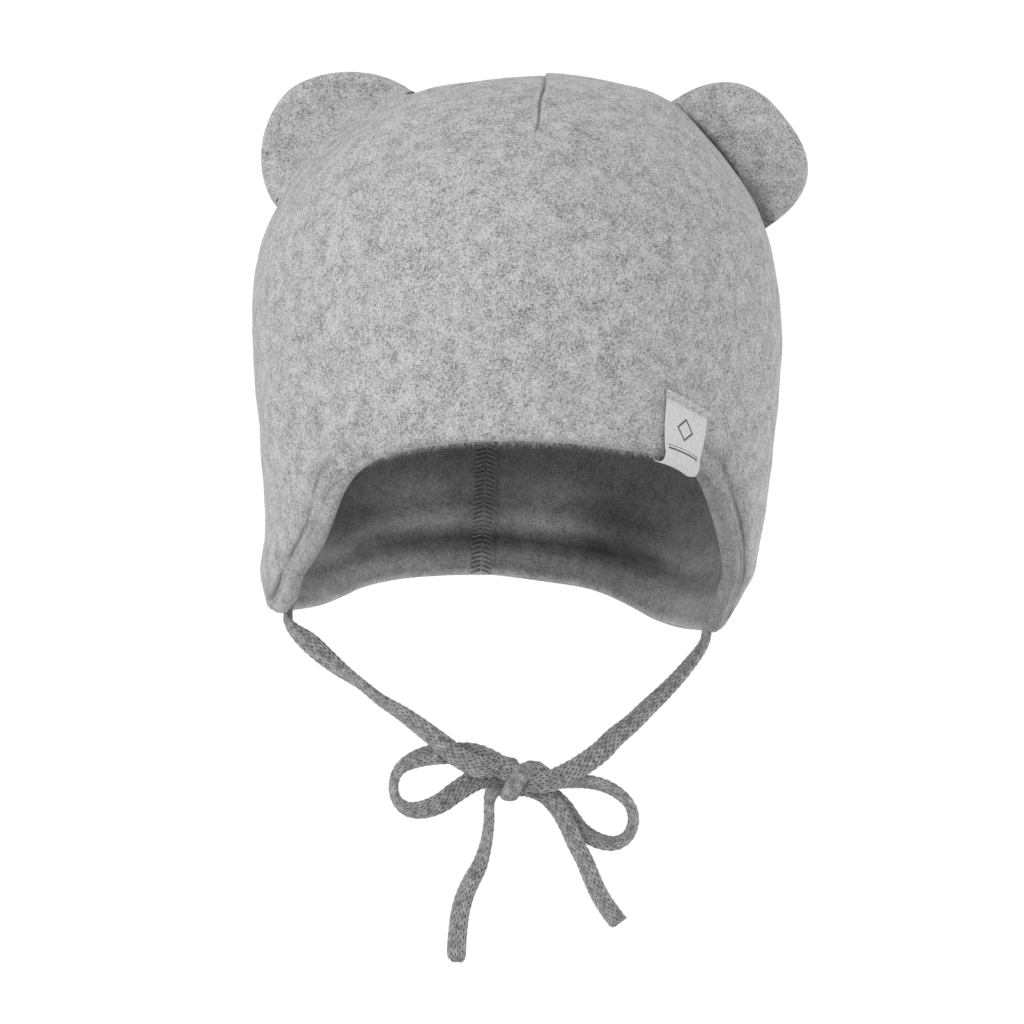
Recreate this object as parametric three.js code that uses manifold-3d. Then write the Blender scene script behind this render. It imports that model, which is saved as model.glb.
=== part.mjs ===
// A baby's bonnet with two rounded ears: fleece shell and lining, folded label, knitted ties in a bow.
// Millimetres, +Z up, front towards -Y. The origin is the crown's inner top, where the head touches it.
import * as THREE from "three";
import { mergeVertices } from "three/addons/utils/BufferGeometryUtils.js";
import Module from "manifold-3d";

const wasm = await Module();
wasm.setup();

// Overall sizes of the outer surface, drops measured down from the top of the crown
const HALF_WIDTH = 71.2;
const FRONT_DEPTH = 80;
const BACK_DEPTH = 87;
const WIDEST_DROP = 72;
const BROW_DROP = 100.4;
const NAPE_DROP = 137.2;
const FLAP_DROP = 148.6;

// Cloth and seams
const SHELL_CLOTH = 2.0;
const LINING_CLOTH = 1.6;
const CLEARANCE = 0.3;
const HEM_ROLL = 1.8;
const HEM_BULGE = 0.35;
const DART_DROP = 22;
const DART_DEPTH = 0.9;
const DART_TURN = 2.2;
const FOLD_HEIGHT = 9.5;
const FOLD_DEPTH = 0.6;
const FOLD_TURN = 45;

// Padded ears, sewn into the seam that runs from ear to ear
const EAR_REACH = 22.6;
const EAR_EDGE = 2.6;
const EAR_PAD = 6.4;
const EAR_TUCK = 5;
const EAR_SETBACK = 1.2;

// Woven label, folded round the brow edge
const LABEL_CLOTH = 0.5;
const LABEL_WIDTH = 13.8;
const LABEL_HEIGHT = 15.6;
const LABEL_TUCK = 12;
const LABEL_TURN = 34.6;
const LABEL_LEAN = 1.4;

// Flat knitted ties and their knot
const TIE_WIDTH = 6.2;
const TIE_THICKNESS = 2.4;
const TIE_STEP = 5.4;
const KNOT_CENTRE = [3.3, -17.6, -185.5];
const KNOT_HALF = [4.6, 6.2, 4.9];

const WALL = SHELL_CLOTH + CLEARANCE + LINING_CLOTH;
const DEGREE = Math.PI / 180;

// Level sections: the drop as a share of WIDEST_DROP, half width and sideways shift as shares of HALF_WIDTH
const SECTIONS = [
  { drop: 0.0, half: 0.0, shift: 0.07 },
  { drop: 0.017, half: 0.222, shift: 0.071 },
  { drop: 0.049, half: 0.364, shift: 0.067 },
  { drop: 0.097, half: 0.493, shift: 0.047 },
  { drop: 0.18, half: 0.62, shift: 0.022 },
  { drop: 0.278, half: 0.731, shift: 0.006 },
  { drop: 0.389, half: 0.829, shift: -0.011 },
  { drop: 0.528, half: 0.92, shift: -0.022 },
  { drop: 0.667, half: 0.968, shift: -0.027 },
  { drop: 0.833, half: 0.993, shift: -0.025 },
  { drop: 1.0, half: 1.0, shift: -0.018 },
  { drop: 1.222, half: 0.99, shift: -0.011 },
  { drop: 1.403, half: 0.97, shift: -0.006 },
  { drop: 1.583, half: 0.951, shift: -0.001 },
  { drop: 1.75, half: 0.937, shift: -0.003 },
  { drop: 1.833, half: 0.933, shift: -0.011 },
  { drop: 1.903, half: 0.916, shift: -0.031 },
  { drop: 1.986, half: 0.88, shift: -0.043 },
  { drop: 2.028, half: 0.861, shift: -0.049 },
  { drop: 2.07, half: 0.824, shift: -0.051 },
];

// Hem from the brow to the flaps: turn from the front, and how far down from brow to flap on each side
const FRONT_HEM = [
  { turn: 0, left: 0, right: 0 },
  { turn: 10, left: 0.015, right: 0.003 },
  { turn: 20, left: 0.045, right: 0.02 },
  { turn: 28, left: 0.085, right: 0.042 },
  { turn: 34, left: 0.13, right: 0.082 },
  { turn: 39, left: 0.19, right: 0.13 },
  { turn: 43, left: 0.27, right: 0.195 },
  { turn: 46, left: 0.365, right: 0.28 },
  { turn: 49, left: 0.49, right: 0.365 },
  { turn: 52, left: 0.6, right: 0.45 },
  { turn: 56, left: 0.71, right: 0.55 },
  { turn: 60, left: 0.82, right: 0.68 },
  { turn: 65, left: 0.92, right: 0.84 },
  { turn: 72, left: 0.985, right: 0.965 },
  { turn: 80, left: 1, right: 1 },
  { turn: 90, left: 1, right: 1.004 },
];

// Hem from the flaps to the nape: how far down from nape to flap on each side
const BACK_HEM = [
  { turn: 90, left: 1, right: 1.017 },
  { turn: 113, left: 1, right: 1.04 },
  { turn: 129, left: 0.86, right: 0.9 },
  { turn: 141, left: 0.48, right: 0.56 },
  { turn: 154, left: 0.21, right: 0.24 },
  { turn: 168, left: 0.06, right: 0.1 },
  { turn: 180, left: 0, right: 0 },
];

// Columns of the cloth, closer together where the hem turns down to the flaps
const HALF_TURNS = [
  9, 18, 27, 34, 39, 43.5, 48, 52.5, 57.5, 63, 71, 80, 90, 102, 114, 126, 138, 150, 164,
];

// Ears: drops where the outline leaves the crown as shares of WIDEST_DROP, how full the outline is,
// its height and how far its peak leans down the crown as shares of EAR_REACH
const EARS = [
  { name: "ear_left", side: -1, top: 0.097, foot: 0.54, fullness: 1.75, tall: 0.985, lean: 0.06 },
  { name: "ear_right", side: 1, top: 0.083, foot: 0.535, fullness: 2.35, tall: 1, lean: 0.1 },
];

// Middle lines of the ties, from the seam at each flap tip to the cut ends
const TIES = [
  {
    name: "tie_left",
    points: [
      [-59.4, -9, -144.9], [-59.1, -9.1, -146.4], [-57.4, -9.6, -148.4], [-53.1, -11, -151.6],
      [-47.5, -12.5, -156], [-42.1, -14, -159.7], [-38.9, -14.5, -161.8], [-33.9, -16, -165.4],
      [-28.2, -17.5, -168.6], [-22.9, -19, -172], [-16.1, -19.8, -176.8], [-12, -20, -179.8],
      [-6.6, -20, -182.6], [-2.7, -20, -184.4], [3.3, -20, -186],
    ],
  },
  {
    name: "tie_right",
    points: [
      [53, -7, -144.4], [52.6, -7.1, -146.6], [51.3, -7.6, -149], [48.8, -9, -152.4],
      [45.5, -11, -156.4], [41.6, -12.5, -160.6], [37.3, -14.5, -164.8], [33.1, -16.5, -169],
      [28.6, -18.5, -172.8], [25.4, -19.6, -176.3], [20.8, -20, -180], [16.1, -20, -183],
      [11.5, -20, -185], [8.2, -20, -185.6], [3.3, -20, -185.6],
    ],
  },
  {
    name: "loop_left",
    points: [
      [3.3, -16.8, -182.4], [-1.5, -16.8, -180.9], [-4.8, -16.8, -179.6], [-8.6, -16.8, -178.8],
      [-12.9, -16.8, -178.8], [-19, -16.6, -179.4], [-24.2, -16.4, -181.1], [-27.9, -16, -183.8],
      [-29.2, -15.6, -187.8], [-28.3, -15.3, -191.8], [-25.3, -15, -194.2], [-21.2, -14.6, -194.3],
      [-16.5, -14.2, -192.4], [-12.4, -13.9, -189.2], [-7.3, -13.8, -185.8], [-3.5, -13.8, -184.8],
      [3.3, -13.8, -185],
    ],
  },
  {
    name: "tail_left",
    points: [
      [3.3, -16.9, -187.3], [-0.6, -16.9, -187.4], [-2.8, -16.9, -188.7], [-3.6, -17.1, -191.4],
      [-3.5, -17.5, -196.5], [-4, -18, -202.2], [-5.4, -18.4, -207.9], [-7.2, -18.6, -211.7],
      [-8.9, -18.8, -215.8], [-10, -19, -220.3], [-10.5, -19.2, -226], [-10.6, -19.2, -230.8],
      [-10.4, -19.2, -234.2],
    ],
  },
  {
    name: "loop_right",
    points: [
      [3.3, -16.8, -184.2], [9.7, -16.8, -184.9], [14.5, -16.8, -185], [21.6, -16.8, -184.8],
      [26.4, -16.5, -185.6], [30.3, -16, -187.4], [33.6, -15.2, -190.3], [35, -14.4, -193.6],
      [34.9, -13.6, -196.8], [33.4, -12.7, -199.8], [30.3, -12, -201.4], [26, -11.4, -200.8],
      [22, -11, -198.6], [19.3, -10.9, -195.6], [16.5, -10.9, -192.3], [12.6, -10.9, -189.4],
      [3.3, -10.9, -186],
    ],
  },
  {
    name: "tail_right",
    points: [
      [3.3, -13.8, -186.4], [8, -13.8, -187.4], [11.6, -13.9, -189.2], [15, -14, -192.8],
      [17.5, -14.2, -196.7], [19.8, -14.6, -201.3], [22.7, -15.2, -206.4], [24.8, -15.6, -211],
      [27.3, -16, -215.6], [30.3, -16.4, -219.7], [32.6, -16.7, -222.4],
    ],
  },
];

// Value of one column of a table at a place, smooth through its rows and straight past its last one
function readTable(rows, column, place, placeOf) {
  const last = rows.length - 1;
  const slopeAt = (i) => {
    const before = rows[Math.max(i - 1, 0)];
    const after = rows[Math.min(i + 1, last)];
    return (after[column] - before[column]) / (placeOf(after) - placeOf(before));
  };
  if (place >= placeOf(rows[last])) {
    return rows[last][column] + slopeAt(last) * (place - placeOf(rows[last]));
  }
  let i = 0;
  while (i < last - 1 && placeOf(rows[i + 1]) < place) i++;
  const span = placeOf(rows[i + 1]) - placeOf(rows[i]);
  const t = (place - placeOf(rows[i])) / span;
  const t2 = t * t;
  const t3 = t2 * t;
  return (
    rows[i][column] * (2 * t3 - 3 * t2 + 1) +
    rows[i + 1][column] * (3 * t2 - 2 * t3) +
    slopeAt(i) * span * (t3 - 2 * t2 + t) +
    slopeAt(i + 1) * span * (t3 - t2)
  );
}

// Half width and sideways shift of the level section at a drop
function sectionAt(drop) {
  const place = Math.sqrt(Math.max(drop, 0) / WIDEST_DROP);
  const placeOf = (row) => Math.sqrt(row.drop);
  return {
    half: readTable(SECTIONS, "half", place, placeOf),
    shift: readTable(SECTIONS, "shift", place, placeOf),
  };
}

// Drop of the hem's lowest line at a turn from the front, positive turns to the right flap
function hemDrop(turn) {
  const away = Math.abs(turn);
  const side = turn < 0 ? "left" : "right";
  const placeOf = (row) => row.turn;
  if (away <= 90) {
    return BROW_DROP + (FLAP_DROP - BROW_DROP) * readTable(FRONT_HEM, side, away, placeOf);
  }
  return NAPE_DROP + (FLAP_DROP - NAPE_DROP) * readTable(BACK_HEM, side, away, placeOf);
}

// Point of the smooth outer surface
function shellPoint(turn, drop) {
  const { half, shift } = sectionAt(drop);
  const angle = turn * DEGREE;
  const depth = Math.abs(turn) < 90 ? FRONT_DEPTH : BACK_DEPTH;
  return new THREE.Vector3(
    HALF_WIDTH * (shift + half * Math.sin(angle)),
    -depth * half * Math.cos(angle),
    WALL - drop,
  );
}

// Outward direction of the outer surface
function shellNormal(turn, drop) {
  const root = Math.max(Math.sqrt(Math.max(drop, 0)), 0.05);
  const nudge = 0.01;
  const down = shellPoint(turn, (root + nudge) ** 2).sub(shellPoint(turn, (root - nudge) ** 2));
  const around = shellPoint(turn + nudge, root ** 2).sub(shellPoint(turn - nudge, root ** 2));
  return down.cross(around).normalize();
}

// Point a given depth inside the outer surface
function layerPoint(turn, drop, depth) {
  return shellPoint(turn, drop).addScaledVector(shellNormal(turn, drop), -depth);
}

// How much longer a distance square to the hem is when it is measured straight down
function hemStretch(turn) {
  const nudge = 1;
  const fall = hemDrop(turn + nudge) - hemDrop(turn - nudge);
  const level = hemDrop(turn);
  const run = shellPoint(turn + nudge, level).distanceTo(shellPoint(turn - nudge, level));
  return Math.sqrt(1 + Math.min(fall / run, 2) ** 2);
}

// Closed body through rings of points; the first and last rings shrink to one point
function loft(rings) {
  const place = [];
  const starts = rings.map((ring) => {
    const start = place.length / 3;
    ring.forEach((p) => place.push(p.x, p.y, p.z));
    return start;
  });
  const index = [];
  for (let r = 0; r + 1 < rings.length; r++) {
    const here = rings[r];
    const next = rings[r + 1];
    const count = Math.max(here.length, next.length);
    const rising = next[0].z > here[0].z;
    for (let j = 0; j < count; j++) {
      const k = (j + 1) % count;
      const a = starts[r] + (here.length > 1 ? j : 0);
      const b = starts[r] + (here.length > 1 ? k : 0);
      const c = starts[r + 1] + (next.length > 1 ? j : 0);
      const d = starts[r + 1] + (next.length > 1 ? k : 0);
      if (here.length === 1) index.push(a, c, d);
      else if (next.length === 1) index.push(a, c, b);
      else if (rising) index.push(a, c, b, c, d, b);
      else index.push(a, c, d, a, d, b);
    }
  }
  const geometry = new THREE.BufferGeometry();
  geometry.setAttribute("position", new THREE.Float32BufferAttribute(place, 3));
  geometry.setIndex(index);
  return geometry;
}

function solidOf(geometry) {
  const bare = geometry.clone();
  bare.deleteAttribute("normal");
  bare.deleteAttribute("uv");
  const merged = mergeVertices(bare, 1e-4);
  return new wasm.Manifold(
    new wasm.Mesh({
      numProp: 3,
      vertProperties: new Float32Array(merged.attributes.position.array),
      triVerts: new Uint32Array(merged.index.array),
    }),
  );
}

function geometryOf(solid) {
  const mesh = solid.getMesh();
  const geometry = new THREE.BufferGeometry();
  const place = new Float32Array((mesh.vertProperties.length / mesh.numProp) * 3);
  for (let i = 0; i < place.length / 3; i++) {
    place.set(mesh.vertProperties.subarray(i * mesh.numProp, i * mesh.numProp + 3), i * 3);
  }
  geometry.setAttribute("position", new THREE.BufferAttribute(place, 3));
  geometry.setIndex(Array.from(mesh.triVerts));
  return geometry;
}

function boxSolid(low, high) {
  const box = new THREE.BoxGeometry(high[0] - low[0], high[1] - low[1], high[2] - low[2]);
  box.translate((low[0] + high[0]) / 2, (low[1] + high[1]) / 2, (low[2] + high[2]) / 2);
  return solidOf(box);
}

// All columns round the head, counter-clockwise seen from above, with two beside the dart
const TURNS = [
  ...HALF_TURNS.map((turn) => -turn).reverse(),
  -DART_TURN,
  0,
  DART_TURN,
  ...HALF_TURNS,
  180,
];

// Rows of the cloth at a turn: evenly spread over the crown, then close above the hem
const CROWN_ROWS = 13;
const HEM_ROWS = [FOLD_HEIGHT + 4, FOLD_HEIGHT, FOLD_HEIGHT - 3, HEM_ROLL];
function rowDrop(turn, row) {
  const stretch = hemStretch(turn);
  if (row > CROWN_ROWS) return hemDrop(turn) - HEM_ROWS[row - CROWN_ROWS] * stretch;
  return (hemDrop(turn) - HEM_ROWS[0] * stretch) * (row / CROWN_ROWS) ** 2;
}
const LAST_ROW = CROWN_ROWS + HEM_ROWS.length - 1;

// Rings of one cloth surface from the crown down to the hem row
function surfaceRings(depthAt) {
  const rings = [[layerPoint(0, 0, depthAt(0, 0))]];
  for (let row = 1; row <= LAST_ROW; row++) {
    rings.push(
      TURNS.map((turn) => {
        const drop = rowDrop(turn, row);
        return layerPoint(turn, drop, depthAt(turn, drop, row));
      }),
    );
  }
  return rings;
}

// Ring at a height above the hem's lowest line, below zero under it
function hemRing(height, depth) {
  return TURNS.map((turn) => {
    const drop = hemDrop(turn) - height * hemStretch(turn);
    return layerPoint(turn, drop, depth);
  });
}

function dartDepth(turn, drop) {
  if (turn !== 0 || drop >= DART_DROP) return 0;
  return DART_DEPTH * Math.sin(Math.PI * Math.sqrt(drop / DART_DROP));
}

// The cross fold above the nape, pressed into the lining's inner face
function foldDepth(turn, row) {
  if (row !== CROWN_ROWS + 1) return 0;
  const away = 180 - Math.abs(turn);
  if (away >= FOLD_TURN) return 0;
  return FOLD_DEPTH * Math.cos((away / FOLD_TURN) * 90 * DEGREE) ** 2;
}

// Outer cloth as one cap, before it is cut into its panels
function outerCap() {
  const outside = surfaceRings(dartDepth);
  const inside = surfaceRings(() => SHELL_CLOTH);
  return solidOf(loft([...outside, ...inside.reverse()]));
}

function lining() {
  const outside = surfaceRings(() => SHELL_CLOTH + CLEARANCE);
  const inside = surfaceRings((turn, drop, row) => WALL - foldDepth(turn, row));
  const lip = HEM_ROLL - CLEARANCE;
  return loft([
    ...outside,
    hemRing(lip, SHELL_CLOTH + CLEARANCE),
    hemRing(lip, 0),
    hemRing(lip * 0.45, -HEM_BULGE),
    hemRing(lip * 0.1, WALL * 0.14),
    hemRing(0, WALL * 0.5),
    hemRing(lip * 0.1, WALL * 0.86),
    hemRing(lip * 0.45, WALL + HEM_BULGE),
    ...inside.reverse(),
  ]);
}

// The three outer panels meet in the ear-to-ear seam and the seam down the back
function panels() {
  const cap = outerCap();
  const far = 2 * (FLAP_DROP + BACK_DEPTH);
  const gap = CLEARANCE / 2;
  const seam = HALF_WIDTH * SECTIONS[0].shift;
  const front = cap.intersect(boxSolid([-far, -far, -far], [far, -gap, far]));
  const left = cap.intersect(boxSolid([-far, gap, -far], [seam - gap, far, far]));
  const right = cap.intersect(boxSolid([seam + gap, gap, -far], [far, far, far]));
  return [
    ["front_panel", front],
    ["back_panel_left", left],
    ["back_panel_right", right],
  ];
}

// The space inside the outer surface, grown by the seam clearance, that the ears stand on
function crownForm() {
  const rings = surfaceRings(() => -CLEARANCE);
  const foot = rings[rings.length - 1];
  const centre = new THREE.Vector3(0, 0, Math.min(...foot.map((p) => p.z)) - CLEARANCE);
  return solidOf(loft([...rings, [centre]]));
}

// One ear: a padded half round whose foot is cut to the crown
function ear({ side, top, foot, fullness, tall, lean }, crown) {
  const high = shellPoint(side * 90, top * WIDEST_DROP);
  const low = shellPoint(side * 90, foot * WIDEST_DROP);
  const middle = high.clone().add(low).multiplyScalar(0.5);
  const along = low.clone().sub(high).normalize();
  const out = new THREE.Vector3(side * Math.abs(along.z), 0, Math.abs(along.x));
  const halfChord = high.distanceTo(low) / 2;
  const arcSteps = 22;
  const outline = [];
  for (let i = 0; i <= arcSteps; i++) {
    const angle = (i / arcSteps) * Math.PI;
    const wide = Math.abs(Math.cos(angle)) ** (2 / fullness) * Math.sign(Math.cos(angle));
    const rise = Math.sin(angle) ** (2 / fullness);
    outline.push([wide * halfChord + lean * rise * EAR_REACH, tall * rise * EAR_REACH]);
  }
  for (const share of [-0.85, -0.3, 0.3, 0.85]) outline.push([share * halfChord, -EAR_TUCK]);
  const heart = EAR_REACH * 0.4;
  const ringAt = (share, face) =>
    outline.map(([u, v]) => {
      const across = u * share;
      const up = heart + (v - heart) * share;
      const pad = Math.sqrt(1 - share * share) * THREE.MathUtils.smoothstep(up, -EAR_TUCK, heart);
      const thick = (EAR_EDGE + (EAR_PAD - EAR_EDGE) * pad) / 2;
      const p = middle.clone().addScaledVector(along, across).addScaledVector(out, up);
      p.y += EAR_SETBACK + face * thick;
      return p;
    });
  const faceCentre = (face) => {
    const p = middle.clone().addScaledVector(out, heart);
    p.y += EAR_SETBACK + (face * EAR_PAD) / 2;
    return p;
  };
  const shares = [0.4, 0.75, 0.93];
  const rings = [
    [faceCentre(-1)],
    ...shares.map((share) => ringAt(share, -1)),
    ringAt(1, 0),
    ...shares.map((share) => ringAt(share, 1)).reverse(),
    [faceCentre(1)],
  ];
  return geometryOf(facingOut(loft(rings)).subtract(crown));
}

// A lofted body's solid, turned if its faces point inwards
function facingOut(geometry) {
  const place = geometry.getAttribute("position");
  const corner = [0, 1, 2].map(() => new THREE.Vector3());
  const order = geometry.getIndex().array;
  let volume = 0;
  for (let i = 0; i < order.length; i += 3) {
    corner.forEach((p, k) => p.fromBufferAttribute(place, order[i + k]));
    volume += corner[0].dot(corner[1].clone().cross(corner[2]));
  }
  if (volume < 0) {
    for (let i = 0; i < order.length; i += 3) {
      [order[i + 1], order[i + 2]] = [order[i + 2], order[i + 1]];
    }
  }
  return solidOf(geometry);
}

// The label hangs over the brow edge: height above the hem and depth of its middle at each bend
function label() {
  const half = LABEL_CLOTH / 2;
  const off = CLEARANCE + half + 0.05;
  const route = [
    { height: LABEL_HEIGHT, depth: -off },
    { height: LABEL_HEIGHT * 0.6, depth: -off },
    { height: HEM_ROLL * 2, depth: -off },
    { height: HEM_ROLL * 0.5, depth: -off - HEM_BULGE },
    { height: -off * 1.4, depth: WALL * 0.05 },
    { height: -off * 2, depth: WALL * 0.5 },
    { height: -off * 1.4, depth: WALL * 0.95 },
    { height: HEM_ROLL * 0.5, depth: WALL + off + HEM_BULGE },
    { height: HEM_ROLL * 2, depth: WALL + off },
    { height: LABEL_TUCK * 0.6, depth: WALL + off },
    { height: LABEL_TUCK, depth: WALL + off },
  ];
  const step = shellPoint(LABEL_TURN + 1, BROW_DROP).distanceTo(shellPoint(LABEL_TURN, BROW_DROP));
  const halfTurn = LABEL_WIDTH / step / 2;
  const across = [-1, -0.33, 0.33, 1];
  const pointAt = ({ height, depth }, share) => {
    const turn = LABEL_TURN + share * halfTurn + (LABEL_LEAN * height) / LABEL_HEIGHT;
    return layerPoint(turn, hemDrop(turn) - height * hemStretch(turn), depth);
  };
  const rings = route.map((bend, i) => {
    const before = route[Math.max(i - 1, 0)];
    const after = route[Math.min(i + 1, route.length - 1)];
    const tall = after.height - before.height;
    const deep = after.depth - before.depth;
    const size = Math.hypot(tall, deep);
    const shifted = (sign) => ({
      height: bend.height + (sign * half * deep) / size,
      depth: bend.depth - (sign * half * tall) / size,
    });
    const front = across.map((share) => pointAt(shifted(1), share));
    const back = across.map((share) => pointAt(shifted(-1), share)).reverse();
    return [...front, ...back];
  });
  const centreOf = (ring) => {
    const sum = ring.reduce((total, p) => total.add(p), new THREE.Vector3());
    return sum.multiplyScalar(1 / ring.length);
  };
  const last = rings[rings.length - 1];
  const body = loft([[centreOf(rings[0])], ...rings, [centreOf(last)]]);
  return geometryOf(facingOut(body));
}

// Section of a flat tie: an eight-sided oval, thin along the extrusion's first axis
function tieSection() {
  const sides = 8;
  const corners = [];
  for (let i = 0; i < sides; i++) {
    const angle = ((i + 0.5) / sides) * 2 * Math.PI;
    corners.push(
      new THREE.Vector2((Math.cos(angle) * TIE_THICKNESS) / 1.85, (Math.sin(angle) * TIE_WIDTH) / 1.85),
    );
  }
  return new THREE.Shape(corners);
}

// A tie's middle line, whose broad side stays towards the front
class TieRoute extends THREE.CatmullRomCurve3 {
  computeFrenetFrames(steps) {
    const frames = { tangents: [], normals: [], binormals: [] };
    for (let i = 0; i <= steps; i++) {
      const tangent = this.getTangentAt(i / steps);
      const front = new THREE.Vector3(0, -1, 0);
      const normal = front.addScaledVector(tangent, -front.dot(tangent)).normalize();
      frames.tangents.push(tangent);
      frames.normals.push(normal);
      frames.binormals.push(tangent.clone().cross(normal));
    }
    return frames;
  }
}

function tieSolid(points) {
  const route = new TieRoute(points.map((p) => new THREE.Vector3(...p)));
  const steps = Math.round(route.getLength() / TIE_STEP);
  return solidOf(new THREE.ExtrudeGeometry(tieSection(), { steps, extrudePath: route }));
}

// The knot: a round lump on three half sizes, grown for the cut that its strands end at
function knotGeometry(extra) {
  const round = new THREE.SphereGeometry(1, 12, 8);
  round.scale(KNOT_HALF[0] + extra, KNOT_HALF[1] + extra, KNOT_HALF[2] + extra);
  round.translate(...KNOT_CENTRE);
  return round;
}

const fleece = { color: 0xa3a3a3, roughness: 0.95, metalness: 0 };
const fleeceInside = { color: 0x8c8c8c, roughness: 0.95, metalness: 0 };
const wovenTape = { color: 0xdcdad6, roughness: 0.7, metalness: 0 };
const knittedTie = { color: 0x747474, roughness: 0.9, metalness: 0 };

const hat = new THREE.Group();
function add(name, geometry, finish) {
  const mesh = new THREE.Mesh(geometry, new THREE.MeshStandardMaterial(finish));
  mesh.name = name;
  hat.add(mesh);
}

for (const [name, solid] of panels()) add(name, geometryOf(solid), fleece);
add("lining", lining(), fleeceInside);
const crown = crownForm();
for (const shape of EARS) add(shape.name, ear(shape, crown), fleece);
add("label", label(), wovenTape);
const knotRoom = solidOf(knotGeometry(CLEARANCE));
for (const { name, points } of TIES) {
  add(name, geometryOf(tieSolid(points).subtract(knotRoom)), knittedTie);
}
add("bow_knot", knotGeometry(0), knittedTie);

export default hat;
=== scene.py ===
# %% [markdown]
# A baby hat with two round ears
#
# The real hat is a soft cap of light grey melange fleece. A front panel and two back panels
# are sewn over a fleece lining, the hem drops over each ear as a flap, and a flat knitted cord
# at each flap is tied in a bow under the chin. This script dresses the measured model of the
# hat: every piece below is built in the same place as the solid that it stands for, so nothing
# has to be fitted by eye. The lengths are in millimetres, as on a sewing pattern, and MM turns
# them into Blender's metres where a mesh is made.

import math

import bmesh
import bpy
import numpy as np
from mathutils import Matrix, Vector
from mathutils.bvhtree import BVHTree


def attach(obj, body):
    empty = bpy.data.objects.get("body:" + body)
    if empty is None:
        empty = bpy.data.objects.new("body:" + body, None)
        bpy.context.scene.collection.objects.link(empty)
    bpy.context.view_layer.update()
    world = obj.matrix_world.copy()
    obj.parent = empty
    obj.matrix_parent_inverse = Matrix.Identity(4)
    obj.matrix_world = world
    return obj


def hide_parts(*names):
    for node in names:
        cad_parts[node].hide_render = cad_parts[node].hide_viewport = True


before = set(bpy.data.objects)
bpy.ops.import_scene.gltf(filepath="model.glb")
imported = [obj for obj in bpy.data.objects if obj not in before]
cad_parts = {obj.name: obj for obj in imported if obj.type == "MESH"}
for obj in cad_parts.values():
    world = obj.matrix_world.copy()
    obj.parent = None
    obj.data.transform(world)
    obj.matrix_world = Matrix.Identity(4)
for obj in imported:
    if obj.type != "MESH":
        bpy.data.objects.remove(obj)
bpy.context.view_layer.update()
MM = 0.001
print("solids in the model:", sorted(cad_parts))

# %% [markdown]
# The camera
#
# The photograph is taken level with the brow, from straight ahead, and the hat leans a little
# clockwise in it. A camera could be aimed by hand, but a few numbers say it exactly: how far it
# stands, the point that it looks at, how far it goes round, and how much it rolls.

# %% Camera
VIEW_TURN = math.radians(2.0)
VIEW_ROLL = math.radians(2.6)
VIEW_TARGET = Vector((-0.0005, 0.0, -0.1141))
sight = Vector((math.sin(VIEW_TURN), math.cos(VIEW_TURN), 0.0))
level = Vector((math.cos(VIEW_TURN), -math.sin(VIEW_TURN), 0.0))
upright = Vector((0.0, 0.0, 1.0))
across = level * math.cos(VIEW_ROLL) + upright * math.sin(VIEW_ROLL)
above = upright * math.cos(VIEW_ROLL) - level * math.sin(VIEW_ROLL)


def add_object(name, data):
    """Puts a mesh, a lamp or a camera into the scene."""
    made = bpy.data.objects.new(name, data)
    bpy.context.collection.objects.link(made)
    return made


camera_data = bpy.data.cameras.new("camera")
camera_data.sensor_width = 36.0
camera_data.lens = 130.07
camera = add_object("camera", camera_data)
camera.matrix_world = Matrix.Translation(VIEW_TARGET - sight) @ Matrix(
    (across, above, -sight)
).transposed().to_4x4()
bpy.context.scene.camera = camera
print("camera stands at", tuple(round(c, 3) for c in camera.location))

# %% [markdown]
# Reading a table as a smooth curve
#
# The hat's form is kept as short tables: a row for each level section of the crown and for each
# bend of the hem. A spline through the rows gives every place between them. The same reader
# draws the cords, where each row is a point that the cord passes through.


# %% A smooth reader for tables
def smooth(places, values, at):
    """The value at each place on a smooth curve through the rows, straight past the last."""
    places, values, at = (np.asarray(a, float) for a in (places, values, at))
    count = np.arange(len(places))
    before, after = np.maximum(count - 1, 0), np.minimum(count + 1, len(places) - 1)
    slopes = (values[after] - values[before]) / (places[after] - places[before])
    row = np.clip(np.searchsorted(places, at) - 1, 0, len(places) - 2)
    span = places[row + 1] - places[row]
    t = (at - places[row]) / span
    inside = (
        values[row] * (2 * t**3 - 3 * t**2 + 1)
        + values[row + 1] * (3 * t**2 - 2 * t**3)
        + slopes[row] * span * (t**3 - 2 * t**2 + t)
        + slopes[row + 1] * span * (t**3 - t**2)
    )
    return np.where(at >= places[-1], values[-1] + slopes[-1] * (at - places[-1]), inside)


def smooth_line(places, points, at):
    """The same for points in space."""
    return np.stack([smooth(places, points[:, k], at) for k in range(3)], axis=1)


def distances(points):
    """How far along a line of points each of them lies."""
    return np.concatenate([[0], np.cumsum(np.linalg.norm(np.diff(points, axis=0), axis=1))])


def unit(ways):
    """The same directions, each with a length of 1."""
    return ways / np.maximum(np.linalg.norm(ways, axis=-1, keepdims=True), 1e-12)


print("half way between 0 and 1:", smooth([0, 1, 2], [0, 1, 4], [0.5]))

# %% [markdown]
# Building a piece from a grid
#
# Cloth, cord and tape are all surfaces with two directions, so each starts as a flat grid from
# one bmesh operator. Its corners are then moved to where the cloth lies. Corners that land on
# each other, at the crown's top or where a tube closes, are welded afterwards.


# %% Grid helpers
def add_grid(bm, columns, rows, place):
    """Adds a grid to a bmesh and moves its corners to the points that place(u, w) gives."""
    corners = bmesh.ops.create_grid(bm, x_segments=columns, y_segments=rows, size=1)["verts"]
    flat = np.array([v.co[:2] for v in corners]) * 0.5 + 0.5
    for corner, point in zip(corners, place(flat[:, 0], flat[:, 1]) * MM):
        corner.co = point


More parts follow.
